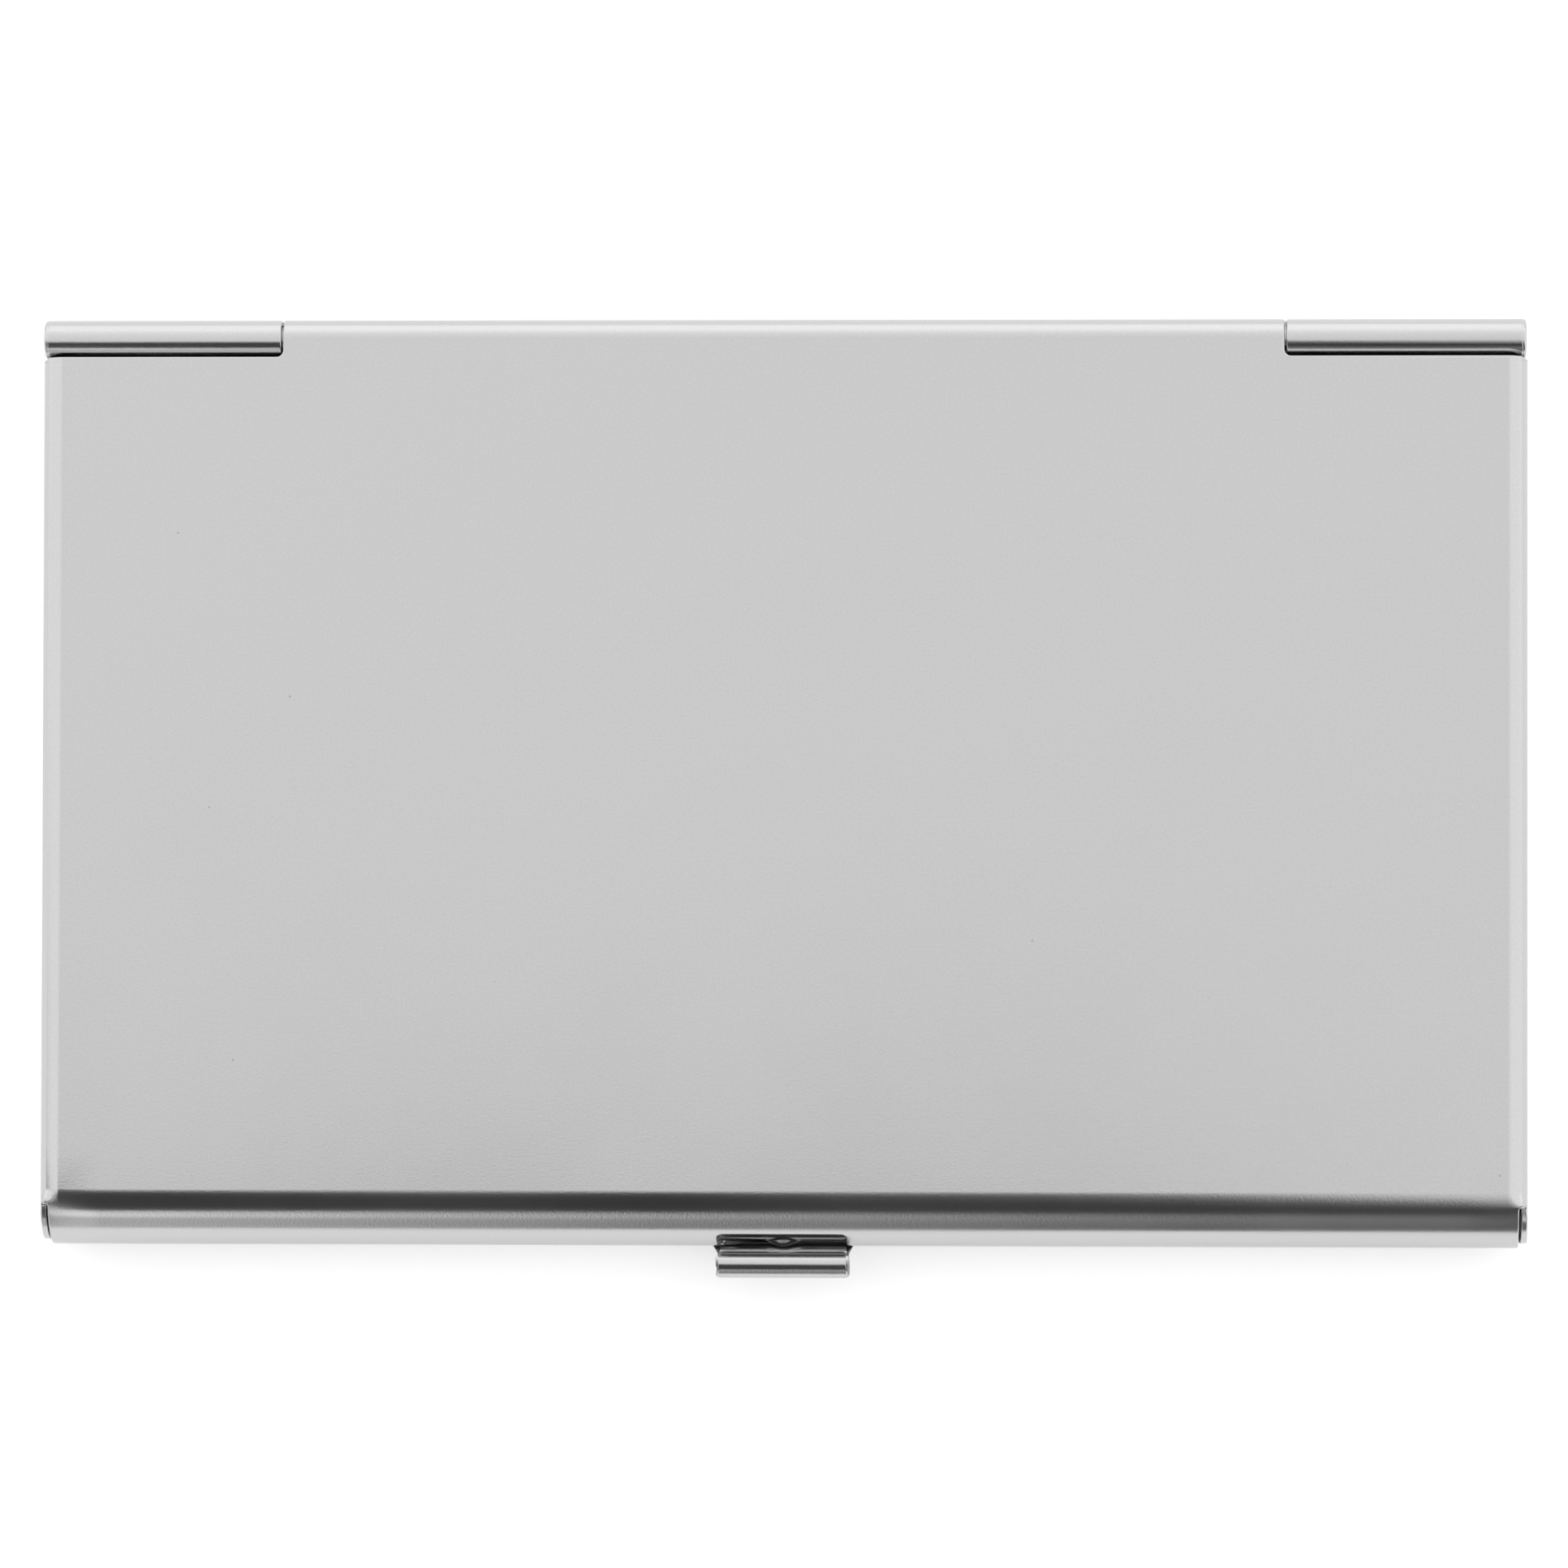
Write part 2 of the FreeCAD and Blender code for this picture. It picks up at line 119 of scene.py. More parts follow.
# Thumb tab and catch
TAB_REACH = 2.0
TAB_HALF = 4.05
TAB_BEND = 0.8            # inner radius of the bend that turns the tab outwards
TAB_FLARE = 0.35          # the tab widens by this at its root
TAB_FLARE_INSET = 0.05
TAB_ROOT_CORNER = 0.3
TAB_CORNER = 0.35
BEAD = 0.87               # outer radius of the tab's curled edge
BEAD_TURN = 250
RECESS_HALF = 4.0         # recess pressed into the lid's roll behind the tab
RECESS_HEIGHT = 2.1       # its top above the middle of the case
RECESS_DEPTH = 0.35
RECESS_STEP = 0.1         # half the width of the recess's walls
RECESS_CORNER = 0.35
BUMP_RISE = 0.38          # bump of the catch, in the recess
BUMP_LEVEL = 0.25         # its centre above the middle of the case
BUMP_HALF = 1.3
BUMP_HALF_HEIGHT = 0.5

# Hinge wire
WIRE_CORNER = 0.15

FRONT = TAB_FRONT + TAB_REACH
ROLL_MID = ROLL - SHEET / 2
BEND_MID = SIDE_BEND - SHEET / 2
KNUCKLE_MID = KNUCKLE - SHEET / 2
PLATE_MID = HEIGHT - SHEET / 2
BEND_LEVEL = HEIGHT - SIDE_BEND
PLATE_START = FRONT + ROLL
QUARTER_BEND = BEND_MID * math.pi / 2
FLAP_TOP = BEND_LEVEL + BEND_MID * math.cos(FLAP_ANGLE)
PARTING_LEVEL = MIDDLE + PARTING / 2
ROLL_TURN = math.degrees(math.acos(PARTING / 2 / ROLL_MID))

# Mesh
TINY_AREA = 1e-7          # triangles under this are dropped
GRID_MARGIN = 0.05        # grid points this near to an edge are left out
LINE_MARGIN = 0.02        # and grid lines, by their middles
SHORTEST = 0.03           # shortest piece of an outline
LONGEST = 3.0             # longest piece of an outline, and of a straight run
REACH = 1e-4              # step for slopes
CORNER_STEP = 15          # degrees per piece of a fillet or a hole
EDGE_STEPS = 4            # pieces of each quarter round along a cut edge


# ---------------------------------------------------------------- folding

def smooth(value, low, high):
    """0 on the low side, 1 on the high side, and an even ramp between."""
    ramp = np.clip((value - low) / (high - low), 0, 1)
    return ramp * ramp * (3 - 2 * ramp)


class Track:
    """Side view of a sheet's middle surface: runs of (length, turn in degrees) end to end."""

    def __init__(self, start, heading, runs):
        self.parts = []
        self.marks = [0.0]
        y, z = start
        angle = math.radians(heading)
        for length, turn in runs:
            turn = math.radians(turn)
            self.parts.append((self.marks[-1], length, y, z, angle, turn))
            if turn:
                radius = length / turn
                y += radius * (math.sin(angle + turn) - math.sin(angle))
                z -= radius * (math.cos(angle + turn) - math.cos(angle))
                angle += turn
            else:
                y += length * math.cos(angle)
                z += length * math.sin(angle)
            self.marks.append(self.marks[-1] + length)
        self.parts.append((self.marks[-1], 1.0, y, z, angle, 0.0))

    def at(self, distance):
        y_out = np.zeros_like(distance)
        z_out = np.zeros_like(distance)
        for number, (mark, length, y, z, angle, turn) in enumerate(self.parts):
            here = distance >= mark if number else np.ones_like(distance, bool)
            along = distance[here] - mark
            if turn:
                radius = length / turn
                y_out[here] = y + radius * (np.sin(angle + along / radius) - math.sin(angle))
                z_out[here] = z - radius * (np.cos(angle + along / radius) - math.cos(angle))
            else:
                y_out[here] = y + along * math.cos(angle)
                z_out[here] = z + along * math.sin(angle)
        return y_out, z_out

    def rows(self, turn_step):
        """Distances that divide each arc and run evenly, with an arc's steps in degrees."""
        stops = [0.0]
        for mark, length, _, _, _, turn in self.parts[:-1]:
            turns = math.ceil(abs(math.degrees(turn)) / turn_step)
            count = max(1, turns, math.ceil(length / LONGEST))
            stops += [mark + length * number / count for number in range(1, count + 1)]
        return stops


def arc(radius, degrees):
    return (radius * math.radians(abs(degrees)), degrees)


def pan_surface(half_width, front, rear, rear_end=None, tab=None):
    """Middle surface of a pan with its plate up: strips roll down at the front and the rear,
    and flanges fold down at the sides.  A tab track bends the middle of the front strip.
    Returns a function from places (s, t) on the blank to points, with t 0 at the roll."""
    front_end = half_width - STRIP_INSET
    rear_end = rear_end or front_end
    bend = half_width - SIDE_BEND
    flap = bend + BEND_MID * FLAP_ANGLE
    plate_length = rear.marks[1]

    def surface(s, t):
        side = np.abs(s)
        y_front, z_front = front.at(-t)
        y_rear, z_rear = rear.at(t)
        if tab:
            y_tab, z_tab = tab.at(-t)
            share = 1 - smooth(side, TAB_HALF - TAB_FLARE_INSET, TAB_HALF + TAB_FLARE)
            y_front = y_front + (y_tab - y_front) * share
            z_front = z_front + (z_tab - z_front) * share
        strip_end = np.where(t < 0, front_end, rear_end)
        strip = 1 - smooth(side, strip_end + BLEND_START, flap)
        y_flat = PLATE_START + t
        y = np.where(t < 0, y_front, y_rear)
        z = np.where(t < 0, z_front, z_rear)
        y = y_flat + (y - y_flat) * strip
        z = PLATE_MID + (z - PLATE_MID) * strip
        turn = np.clip((side - bend) / BEND_MID, 0, math.pi / 2)
        run = np.maximum(side - bend - QUARTER_BEND, 0)
        lateral = np.where(side > bend, bend + BEND_MID * np.sin(turn), side)
        fall = BEND_MID * (1 - np.cos(turn)) + run
        past_plate = smooth(t, plate_length, plate_length + WALL_BLEND)
        folded = 1 - strip * np.maximum(smooth(-t, 0, SLIT_REACH), past_plate)
        x = side + (lateral - side) * folded
        droop = DROOP * strip * np.clip((side - front_end) / DROOP_LENGTH + 1, 0, DROOP_LIMIT) ** 2
        droop = droop * smooth(-t, DROOP_FROM, DROOP_MOST) * smooth(-t, DROOP_TO, DROOP_MOST)
        return np.stack([np.sign(s) * x, y, z - fall * folded - droop], axis=1)

    return surface


def normal_of(surface, s, t):
    """Unit normal of a surface at places on the blank."""
    along_s = surface(s + REACH, t) - surface(s - REACH, t)
    along_t = surface(s, t + REACH) - surface(s, t - REACH)
    along_s /= np.linalg.norm(along_s, axis=1, keepdims=True)
    along_t /= np.linalg.norm(along_t, axis=1, keepdims=True)
    normal = np.cross(along_s, along_t)
    normal /= np.linalg.norm(normal, axis=1, keepdims=True)
    return normal


# ---------------------------------------------------------------- blanks

def rounded(corners):
    """Outline with each corner (s, t, radius) of some radius replaced by an arc."""
    points = []
    count = len(corners)
    for number, corner in enumerate(corners):
        here = Vector(corner[:2])
        radius = corner[2] if len(corner) == 3 else 0
        if not radius:
            points.append(here)
            continue
        before = (Vector(corners[number - 1][:2]) - here).normalized()
        after = (Vector(corners[(number + 1) % count][:2]) - here).normalized()
        half = before.angle(after) / 2
        reach = radius / math.tan(half)
        centre = here + (before + after).normalized() * (radius / math.sin(half))
        first = here + before * reach - centre
        sweep = first.angle_signed(here + after * reach - centre)
        steps = max(3, math.ceil(abs(math.degrees(sweep)) / CORNER_STEP))
        for step in range(steps + 1):
            turned = first.copy()
            turned.rotate(Matrix.Rotation(-sweep * step / steps, 2))
            points.append(centre + turned)
    return points


def refine(points, rows, columns):
    """Outline with more points, so that every grid line meets it in one."""
    out = []
    for start, end in zip(points, points[1:] + points[:1]):
        cuts = {0.0}
        for axis, lines in ((1, rows), (0, columns)):
            span = end[axis] - start[axis]
            if abs(span) > 1e-9:
                cuts.update((line - start[axis]) / span for line in lines)
        pieces = max(1, math.ceil((end - start).length / LONGEST))
        cuts.update(number / pieces for number in range(pieces))
        kept = []
        for cut in sorted(cut for cut in cuts if 0 <= cut < 1):
            if not kept or (cut - kept[-1]) * (end - start).length > SHORTEST:
                kept.append(cut)
        if len(kept) > 1 and (1 - kept[-1]) * (end - start).length < SHORTEST:
            kept.pop()
        out += [start.lerp(end, cut) for cut in kept]
    return out


def outwards(loop):
    """Unit direction out of the sheet at each point of a counter-clockwise outline, and the
    factor that keeps an inset even at corners."""
    points = np.array([tuple(point) for point in loop])
    edges = np.roll(points, -1, axis=0) - points
    edges /= np.linalg.norm(edges, axis=1, keepdims=True)
    sides = np.stack([edges[:, 1], -edges[:, 0]], axis=1)
    direction = sides + np.roll(sides, 1, axis=0)
    direction /= np.linalg.norm(direction, axis=1, keepdims=True)
    stretch = 1 / np.clip((direction * sides).sum(axis=1), 0.5, 1)
    return points, direction, stretch


def inside(points, loops):
    """Which points lie within the outer loop and outside the holes."""
    result = np.zeros(len(points), bool)
    for loop in loops:
        following = np.roll(loop, -1, axis=0)
        for (s0, t0), (s1, t1) in zip(loop, following):
            if t0 == t1:
                continue
            crosses = (t0 > points[:, 1]) != (t1 > points[:, 1])
            at = s0 + (points[:, 1] - t0) * (s1 - s0) / (t1 - t0)
            result ^= crosses & (points[:, 0] < at)
    return result


def distance_to(points, loops):
    """Distance from each point to the nearest outline edge."""
    nearest = np.full(len(points), np.inf)
    for loop in loops:
        for start, end in zip(loop, np.roll(loop, -1, axis=0)):
            edge = end - start
            share = np.clip(((points - start) @ edge) / (edge @ edge), 0, 1)
            gap = np.linalg.norm(points - start - share[:, None] * edge, axis=1)
            nearest = np.minimum(nearest, gap)
    return nearest


def triangulate(loops, rows, columns):
    """Points and triangles of a blank: its outline and the grid inside, with the grid's rows
    and columns kept as edges so that a fold stays even.  Also says which point each point of
    the outline became."""
    grid = np.array([(s, t) for t in rows for s in columns])
    free = inside(grid, loops) & (distance_to(grid, loops) > GRID_MARGIN)
    points = [tuple(point) for loop in loops for point in loop]
    where = {(round(s, 6), round(t, 6)): number for number, (s, t) in enumerate(points)}
    edges = []
    start = 0
    for loop in loops:
        size = len(loop)
        edges += [(start + number, start + (number + 1) % size) for number in range(size)]
        start += size
    for keep, (s, t) in zip(free, grid):
        if keep:
            where[(round(s, 6), round(t, 6))] = len(points)
            points.append((s, t))
    lines = {}
    for (s, t), number in where.items():
        lines.setdefault(("row", t), []).append((s, number))
        lines.setdefault(("column", s), []).append((t, number))
    spots = np.array(points)
    links = []
    for found in lines.values():
        found.sort()
        links += [(a[1], b[1]) for a, b in zip(found, found[1:])]
    links = np.array(links)
    middles = (spots[links[:, 0]] + spots[links[:, 1]]) / 2
    inner = inside(middles, loops) & (distance_to(middles, loops) > LINE_MARGIN)
    edges += [tuple(int(end) for end in link) for link in links[inner]]
    points = [Vector(point) for point in points]
    coords, _, faces, sources, _, _ = delaunay_2d_cdt(points, edges, [], 0, 1e-7)
    coords = np.array([tuple(point) for point in coords])
    faces = np.array([face for face in faces if len(face) == 3])
    corners = coords[faces]
    across = corners[:, 1] - corners[:, 0]
    along = corners[:, 2] - corners[:, 0]
    area = across[:, 0] * along[:, 1] - across[:, 1] * along[:, 0]
    keep = inside(corners.mean(axis=1), loops) & (np.abs(area) > TINY_AREA)
    faces = faces[keep]
    area = area[keep]
    faces[area < 0] = faces[area < 0][:, ::-1]
    outline = {}
    for number, source in enumerate(sources):
        for original in source:
            outline[original] = number
    return coords, faces, outline


def make_sheet(name, loops, rows, columns, surface, press=None, rim=None, flip=False):
    """Mesh object of a folded sheet: both faces, and round edges between them.  press gives
    how far the sheet is pressed outwards at a place, rim how round its edges are there, and
    flip turns the pan over."""
    half = SHEET / 2
    rim = rim or (lambda s, t: np.full_like(s, RIM))
    press = press or (lambda s, t: np.zeros_like(s))

    def layer(height):
        def place(s, t):
            return surface(s, t) + normal_of(surface, s, t) * (height + press(s, t))[:, None]
        return place

    outlines = []
    insets = []
    for loop in loops:
        points, direction, stretch = outwards(refine(loop, rows, columns))
        radius = rim(points[:, 0], points[:, 1])
        outlines.append((points, direction, stretch, radius))
        insets.append(points - direction * (radius * stretch)[:, None])
    coords, faces, outline = triangulate(insets, rows, columns)
    s, t = coords[:, 0], coords[:, 1]
    vertices = []
    normals = []
    for sign in (1, -1):
        place = layer(sign * half)
        vertices.append(place(s, t))
        normals.append(normal_of(place, s, t) * sign)
    count = len(coords)
    polygons = [tuple(face) for face in faces] + [tuple(face[::-1] + count) for face in faces]
    total = 2 * count
    first = 0
    rounding = [(1, 90 - 90 * step / EDGE_STEPS) for step in range(1, EDGE_STEPS + 1)]
    rounding += [(-1, -90 * step / EDGE_STEPS) for step in range(EDGE_STEPS)]
    for points, direction, stretch, radius in outlines:
        size = len(points)
        edge = [outline[first + number] for number in range(size)]
        belt = [edge]
        for sign, degrees in rounding:
            angle = math.radians(degrees)
            inset = (radius * (1 - math.cos(angle)) * stretch)[:, None]
            ring = points - direction * inset
            place = layer((half - radius) * sign + radius * math.sin(angle))
            spot = place(ring[:, 0], ring[:, 1])
            beyond = ring + direction * REACH
            out = place(beyond[:, 0], beyond[:, 1]) - spot
            out /= np.linalg.norm(out, axis=1, keepdims=True)
            up = normal_of(place, ring[:, 0], ring[:, 1])
            vertices.append(spot)
            normals.append(out * math.cos(angle) + up * math.sin(angle))
            belt.append(list(range(total, total + size)))
            total += size
        belt.append([number + count for number in edge])
        for near, far in zip(belt, belt[1:]):
            for number in range(size):
                after = (number + 1) % size
                polygons.append((near[number], far[number], far[after], near[after]))
        first += size
    vertices = np.concatenate(vertices)
    normals = np.concatenate(normals)
    if flip:
        vertices[:, 2] = HEIGHT - vertices[:, 2]
        normals[:, 2] *= -1
        polygons = [polygon[::-1] for polygon in polygons]
    return make_object(name, vertices, polygons, normals)


def make_object(name, vertices, polygons, normals):
    """Mesh object from millimetres, with smooth shading from its own normals."""
    mesh = bpy.data.meshes.new(name)
    faces = [[int(vertex) for vertex in polygon] for polygon in polygons]
    mesh.from_pydata((vertices * MM).tolist(), [], faces)
    mesh.validate()
    mesh.polygons.foreach_set("use_smooth", [True] * len(mesh.polygons))
    normals = normals / np.linalg.norm(normals, axis=1, keepdims=True)
    store = mesh.attributes.new("custom_normal", "FLOAT_VECTOR", "POINT")
    store.data.foreach_set("vector", normals.astype(np.float32).ravel())
    piece = bpy.data.objects.new(name, mesh)
    bpy.context.scene.collection.objects.link(piece)
    return piece


def both_sides(right_half):
    """Closed outline from its right half, listed from the front centre to the rear centre."""
    left_half = [(-corner[0], *corner[1:]) for corner in reversed(right_half)]
    return rounded(right_half + left_half)


def across_lines(half_width, extra):
    """Places across the blank of its grid lines: close together in the side bends."""
    bend = half_width - SIDE_BEND
    bend_steps = [bend + QUARTER_BEND * number / 10 for number in range(11)]
    flange_steps = [bend + QUARTER_BEND + step for step in (0.5, 1.0, 1.5, 2.0, 3.0, 4.0)]
    plate_steps = [bend * number / 18 for number in range(1, 18)]
    right = sorted(set(bend_steps + flange_steps + plate_steps + extra))
    return [-s for s in reversed(right)] + [0.0] + right


def blank_place(bend, level):
    """Place across the blank (s) where the flange's middle surface has a level."""
    above = min(max(level - BEND_LEVEL, 0) / BEND_MID, 1)
    return bend + BEND_MID * math.acos(above) + max(BEND_LEVEL - level, 0)


def flap_end(bend, centre, reach, rise, top, bottom, count=12):
    """Rounded end of a side flap between two levels: part of an ellipse around its centre
    level.  Returns the places (s, distance along t)."""
    first = math.asin((top - centre) / rise)
    last = math.asin((bottom - centre) / rise)
    places = []
    for number in range(count + 1):
        angle = first + (last - first) * number / count
        places.append((blank_place(bend, centre + rise * math.sin(angle)), reach * math.cos(angle)))
    return places


# ---------------------------------------------------------------- lid

def make_lid():
    bend = LID_HALF - SIDE_BEND
    strip_end = LID_HALF - STRIP_INSET
    start = (PLATE_START, PLATE_MID)
    front = Track(start, 180, [arc(ROLL_MID, ROLL_TURN)])
    rear = Track(start, 0, [(HINGE_Y - PLATE_START, 0), arc(KNUCKLE_MID, -CURL_TURN)])
    flap = bend + BEND_MID * FLAP_ANGLE
    parting_s = blank_place(bend, PARTING_LEVEL)
    edge = -front.marks[-1]
    nose = flap_end(bend, MIDDLE, NOSE_REACH, NOSE_RISE, FLAP_TOP, PARTING_LEVEL)

    # The rear of the flange is cut round the hinge, clear of the base's barrels.
    sweep = KNUCKLE + HINGE_GAP
    axis_t = HINGE_Y - PLATE_START
    notch_edge = REAR - NOTCH_BACK - PLATE_START
    notch_rise = math.sqrt(sweep ** 2 - (axis_t - notch_edge) ** 2)
    heel_steps = 8
    heel = []
    for number in range(heel_steps + 1):
        rise = notch_rise * number / heel_steps
        heel.append((blank_place(bend, HINGE_Z + rise), axis_t - math.sqrt(sweep ** 2 - rise ** 2)))
    right_half = [
        (strip_end, edge, CORNER),
        (strip_end, -SLIT_REACH, CORNER),
        (flap, -SLIT_REACH, CORNER),
        *[(s, -reach) for s, reach in nose],
        (parting_s, axis_t - sweep, 2 * CORNER),
        *heel,
        (LID_KNUCKLE_HALF, notch_edge, NOTCH_CORNER),
        (LID_KNUCKLE_HALF, rear.marks[-1]),
    ]
    recess_top = -ROLL_MID * math.acos(RECESS_HEIGHT / ROLL)
    bump_t = -ROLL_MID * math.acos(BUMP_LEVEL / (ROLL - RECESS_DEPTH))

    def press(s, t):
        past_end = np.maximum(np.abs(s) - RECESS_HALF + RECESS_CORNER, 0)
        past_top = np.maximum(t - recess_top + RECESS_CORNER, 0)
        past = np.hypot(past_end, past_top) - RECESS_CORNER
        recess = 1 - smooth(past, -RECESS_STEP, RECESS_STEP)
        off_bump = (s / BUMP_HALF) ** 2 + ((t - bump_t) / BUMP_HALF_HEIGHT) ** 2
        return BUMP_RISE * np.clip(1 - off_bump, 0, 1) ** 2 - RECESS_DEPTH * recess

    # Grid lines close together over the recess's walls, the bump and the notches
    fine = [RECESS_STEP * number / 2 for number in range(-2, 3)]
    columns = across_lines(LID_HALF, [RECESS_HALF + offset for offset in fine]
                           + [0.15 * number for number in range(1, 10)] + [2.2, 3.1])
    rows = {-t for t in front.rows(5)} | set(rear.rows(8))
    rows |= {recess_top + offset for offset in fine}
    rows |= {bump_t + 0.08 * number for number in range(-7, 7)}
    rows |= {notch_edge - 0.15 * number for number in range(1, 14)}
    surface = pan_surface(LID_HALF, front, rear)
    return make_sheet("lid", [both_sides(right_half)], sorted(rows), columns, surface, press)


# ---------------------------------------------------------------- base

def make_base():
    """Built with its floor up, like the lid, and turned over at the end."""
    bend = BASE_HALF - SIDE_BEND
    strip_end = BASE_HALF - STRIP_INSET
    start = (PLATE_START, PLATE_MID)
    front = Track(start, 180, [arc(ROLL_MID, ROLL_TURN)])
    bead_mid = BEAD - SHEET / 2
    tab_mid = TAB_BEND + SHEET / 2
    web_level = (PARTING + SHEET) / 2
    tab_turn = math.acos((web_level + tab_mid) / (ROLL_MID + tab_mid))
    web = PLATE_START - (ROLL_MID + tab_mid) * math.sin(tab_turn) - (TAB_FRONT + BEAD)
    tab_turn = math.degrees(tab_turn)
    tab = Track(start, 180, [arc(ROLL_MID, tab_turn), arc(tab_mid, -tab_turn), (web, 0),
                             arc(bead_mid, BEAD_TURN)])
    wall = HINGE_Z - SIDE_BEND
    rear = Track(start, 0, [(REAR - SIDE_BEND - PLATE_START, 0), arc(BEND_MID, -90), (wall, 0),
                            arc(KNUCKLE_MID, -CURL_TURN)])
    flap = bend + BEND_MID * FLAP_ANGLE
    flange = bend + QUARTER_BEND
    parting_s = blank_place(bend, PARTING_LEVEL)
    axis_s = flange + wall
    axis_t = HINGE_Y - PLATE_START
    edge = -front.marks[-1]
    floor_end = rear.marks[1]
    wall_end = rear.marks[2] + wall - (KNUCKLE + WALL_CLEARANCE)
    nose = flap_end(bend, MIDDLE, NOSE_REACH, NOSE_RISE, FLAP_TOP, PARTING_LEVEL)
    heel = flap_end(bend, BEND_LEVEL, SIDE_BEND, SIDE_BEND, BEND_LEVEL, FLAP_TOP, 8)

    # End cap: the flange's rear corner, round about the hinge axis and just inside the barrel
    dome_radius = KNUCKLE - CAP_CLEARANCE
    dome = []
    for degrees in range(0, 181, 10):
        angle = math.radians(degrees)
        dome.append((axis_s + dome_radius * math.sin(angle),
                     axis_t - dome_radius * math.cos(angle)))
    cap_front = axis_t - KNUCKLE
    ear_end = BASE_HALF - SHEET
    relief = floor_end + RELIEF
    right_half = [
        (TAB_HALF, -tab.marks[-1], TAB_CORNER),
        (TAB_HALF, edge, TAB_ROOT_CORNER),
        (strip_end, edge, CORNER),
        (strip_end, -SLIT_REACH, CORNER),
        (flap, -SLIT_REACH, CORNER),
        *[(s, -reach) for s, reach in nose],
        (parting_s, cap_front, CAP_CORNER),
        *dome,
        *[(s, floor_end + reach) for s, reach in heel],
        (flap, relief),
        (ear_end, relief),
        (ear_end, rear.marks[2]),
        (ear_end + CAP_LAP, rear.marks[2] + LAP_START),
        (ear_end + CAP_LAP, rear.marks[-1]),
        (EAR_START, rear.marks[-1]),
        (EAR_START, wall_end, NOTCH_CORNER),
    ]
    hole = KNUCKLE - SHEET
    holes = []
    for sign in (1, -1):
        turns = [math.radians(degrees) for degrees in range(0, 360, CORNER_STEP)]
        holes.append([Vector((sign * (axis_s + hole * math.cos(turn)),
                              axis_t - sign * hole * math.sin(turn))) for turn in turns])

    def rim(s, t):
        side = np.abs(s)
        off_hole = np.hypot(side - axis_s, t - axis_t) > hole + HOLE_EDGE
        cap = smooth(side, parting_s + CAP_FADE, axis_s) * off_hole
        return RIM + (CAP_RIM - RIM) * cap

    # Grid lines close together over the tab's root and the end caps
    columns = across_lines(BASE_HALF, [TAB_HALF + 0.05 * number for number in range(-2, 9)])
    rows = {-t for t in front.rows(5)} | {-t for t in tab.rows(8)} | set(rear.rows(8))
    rows |= {cap_front + 0.15 * number for number in range(-8, 20)}
    loops = [both_sides(right_half), *holes]
    surface = pan_surface(BASE_HALF, front, rear, ear_end + CAP_LAP, tab)
    return make_sheet("base", loops, sorted(rows), columns, surface, rim=rim, flip=True)


# ---------------------------------------------------------------- hinge pin

def make_pin():
    """Wire with rounded ends.  Its profile lists (x, radius) and the normal along x and out."""
    radius = (pin_high.z - pin_low.z) / 2
    end = pin_high.x
    profile = [(-end, radius - WIRE_CORNER, -1.0, 0.0)]
    for step in range(1, 6):
        angle = math.radians(18 * step)
        along, out = math.cos(angle), math.sin(angle)
        profile.append((-end + WIRE_CORNER * (1 - along), radius - WIRE_CORNER * (1 - out),
                        -along, out))
    profile += [(-x, r, -nx, nr) for x, r, nx, nr in reversed(profile)]
    sides = 48
    vertices, normals, polygons = [], [], []
    for x, r, nx, nr in profile:
        for number in range(sides):
            turn = 2 * math.pi * number / sides
            vertices.append((x, HINGE_Y + r * math.cos(turn), HINGE_Z + r * math.sin(turn)))
            normals.append((nx, nr * math.cos(turn), nr * math.sin(turn)))
    for first in range(0, (len(profile) - 1) * sides, sides):
        for number in range(sides):
            a, b = first + number, first + (number + 1) % sides
            polygons.append((a, b, b + sides, a + sides))
    last = (len(profile) - 1) * sides
    polygons.append(tuple(reversed(range(sides))))
    polygons.append(tuple(range(last, last + sides)))
    return make_object("wire", np.array(vertices), polygons, np.array(normals))


lid = make_lid()
base = make_base()
wire = make_pin()

# ---------------------------------------------------------------- looks

SPECK_RADIUS = 0.09
SMUDGE_SIZE = 14.0
NOISE_MIDDLE = (0.3, 0.7)       # most of a noise's values lie between these


def map_range(nodes, span, to_low, to_high):
    node = nodes.new("ShaderNodeMapRange")
    node.inputs["From Min"].default_value = span[0]
    node.inputs["From Max"].default_value = span[1]
    node.inputs["To Min"].default_value = to_low
    node.inputs["To Max"].default_value = to_high
    return node


